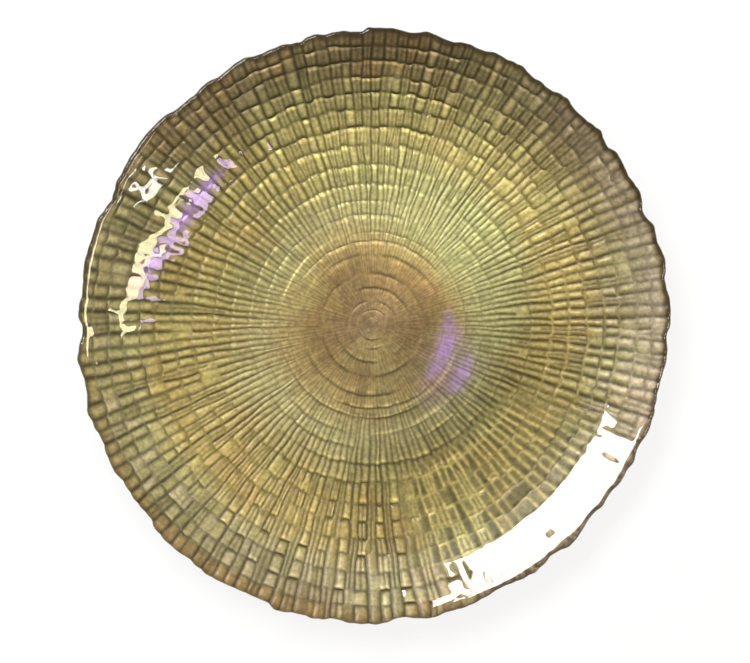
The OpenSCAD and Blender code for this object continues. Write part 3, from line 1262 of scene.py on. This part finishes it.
@dataclass
class Studio:
    """The pale floor, the lamps and the camera."""

    form: PlateForm
    camera_polar_deg: float = 6.5
    camera_bearing_deg: float = 142.0
    camera_distance_m: float = 1.7
    plate_radius_px: float = 297.0
    plate_centre_px: tuple[float, float] = (376.0, 327.7)
    sensor_mm: float = 36.0
    floor_size_m: float = 14.0
    # Share of the floor that the camera sees as plain white, without the plate's shadow
    floor_white_share: float = 0.86
    # The room's light, how much it grows towards the photograph's top, and the white that the camera sees
    room_light: float = 0.14
    room_drift: float = 0.1
    wall_white: float = 0.95
    lamps: tuple[Softbox, ...] = (
        Softbox("key_softbox", 39.3, 131.0, 1.6, 1.02, 0.48, 21.0),
        Softbox("key_tail", 44.5, 99.0, 1.6, 0.22, 0.12, 21.0),
        Softbox("fill_strip", 38.2, 343.4, 1.6, 0.88, 0.15, 18.0, roll_deg=-50, colour="#FFF6C8"),
        Softbox("window_strip", 27.0, 337.0, 1.6, 0.5, 0.09, 14.0, roll_deg=-50, colour="#DDBEF4"),
        Softbox("rim_strip", 53.2, 327.0, 1.6, 0.24, 0.045, 18.0, roll_deg=-20),
    )

    def build(self) -> None:
        """Adds the floor, the world, the lamps and the camera."""
        self._floor()
        self._world()
        for lamp in self.lamps:
            lamp.build()
        self._camera()

    def _floor(self) -> None:
        """Adds the floor, which looks white, keeps the plate's shadow and is clear from below."""
        bpy.ops.object.select_all(action="DESELECT")
        bpy.ops.mesh.primitive_plane_add(size=self.floor_size_m, location=(0, 0, 0))
        floor = bpy.context.object
        floor.name = "studio_floor"
        material, tree = new_material("white_paper_floor")
        paper = add_node(tree, "BsdfDiffuse", {"Color": linear("#F4F4F2")})
        white = add_node(tree, "Emission", {"Color": (1, 1, 1, 1), "Strength": 1.0})
        path = add_node(tree, "LightPath").outputs
        rays = {0: path["Is Camera Ray"], 1: path["Is Transmission Ray"]}
        seen = add_node(tree, "Math", rays, operation="MAXIMUM")
        share = add_node(tree, "Math", {0: seen, 1: self.floor_white_share}, operation="MULTIPLY")
        sheet = add_node(tree, "MixShader", {0: share, 1: paper, 2: white})
        below = add_node(tree, "NewGeometry").outputs["Backfacing"]
        both = add_node(tree, "MixShader", {0: below, 1: sheet, 2: add_node(tree, "BsdfTransparent")})
        add_node(tree, "OutputMaterial", {"Surface": both})
        floor.data.materials.append(material)

    def _world(self) -> None:
        """Lights the room evenly, a little less from the photograph's bottom; the camera sees it white."""
        world = bpy.data.worlds.new("studio_world")
        bpy.context.scene.world = world
        world.use_nodes = True
        tree = world.node_tree
        tree.nodes.clear()
        place = add_node(tree, "TexCoord").outputs["Generated"]
        north = add_node(tree, "SeparateXYZ", {0: place}).outputs[1]
        light = {0: north, 1: self.room_drift, 2: self.room_light}
        strength = add_node(tree, "Math", light, operation="MULTIPLY_ADD")
        room = add_node(tree, "Background", {"Color": (1, 1, 1, 1), "Strength": strength})
        wall = add_node(tree, "Background", {"Color": (1, 1, 1, 1), "Strength": self.wall_white})
        seen = add_node(tree, "LightPath").outputs["Is Camera Ray"]
        add_node(tree, "OutputWorld", {"Surface": add_node(tree, "MixShader", {0: seen, 1: room, 2: wall})})

    def _camera(self) -> None:
        """Places the camera so that the plate's edge lies where the photograph shows it."""
        data = bpy.data.cameras.new("photo_camera")
        camera = bpy.data.objects.new("photo_camera", data)
        bpy.context.scene.collection.objects.link(camera)
        centre = np.array([0, 0, float(self.form.top_z(self.form.plate_r))]) * MM
        back = world_direction(self.camera_polar_deg, self.camera_bearing_deg)
        per_px = self.form.plate_r * MM / self.plate_radius_px
        right = np.cross([0.0, 1.0, 0.0], back)
        right /= np.linalg.norm(right)
        up = np.cross(back, right)
        off_x = (PHOTO_WIDTH_PX / 2 - self.plate_centre_px[0]) * per_px
        off_y = (self.plate_centre_px[1] - PHOTO_HEIGHT_PX / 2) * per_px
        eye = centre + back * self.camera_distance_m + right * off_x + up * off_y
        data.sensor_width = self.sensor_mm
        data.sensor_fit = "HORIZONTAL"
        data.lens = self.sensor_mm * self.camera_distance_m / (per_px * PHOTO_WIDTH_PX)
        data.clip_start, data.clip_end = 0.05, 20.0
        basis = np.eye(4)
        basis[:3, 0], basis[:3, 1], basis[:3, 2], basis[:3, 3] = right, up, back, eye
        camera.matrix_world = Matrix(basis.tolist())
        bpy.context.scene.camera = camera


@dataclass
class ChargerPlate:
    """The whole plate: its glass and the film on its back."""

    form: PlateForm = field(default_factory=PlateForm)

    def build(self) -> list[bpy.types.Object]:
        """Builds every piece, dresses it and fixes it to the frame.

        Returns:
            The pieces.
        """
        weave = Weave(self.form)
        film = LustreFilm(weave)
        lustre = LustreFinish().material()
        pieces = [self._dress(film.build(zone), lustre, "lustre_coat", "gold_lustre") for zone in FilmZone]
        glass = GlassPlate(weave).build()
        pieces.append(self._dress(glass, GlassFinish().material(), "glass_body", "clear_glass"))
        return pieces

    @staticmethod
    def _dress(
        piece: bpy.types.Object, material: bpy.types.Material, node: str, slot: str
    ) -> bpy.types.Object:
        """Gives a piece its material, fixes it to the frame and hides the node that it stands for.

        Args:
            piece: the piece.
            material: what it is made of.
            node: the node that it stands for.
            slot: that node's material slot; not used.

        Returns:
            The same piece.
        """
        piece.data.materials.clear()
        piece.data.materials.append(material)
        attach(piece, "root")
        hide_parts(node)
        return piece


def main() -> None:
    """Builds the plate and the studio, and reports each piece."""
    logging.basicConfig(level=logging.INFO, format="%(name)s %(message)s")
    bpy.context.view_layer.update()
    plate = ChargerPlate()
    for piece in plate.build():
        LOG.info("%s: %d faces of %s", piece.name, len(piece.data.polygons), piece.data.materials[0].name)
    Studio(plate.form).build()
    bpy.context.scene.view_settings.view_transform = "Standard"


if __name__ == "__main__":
    main()
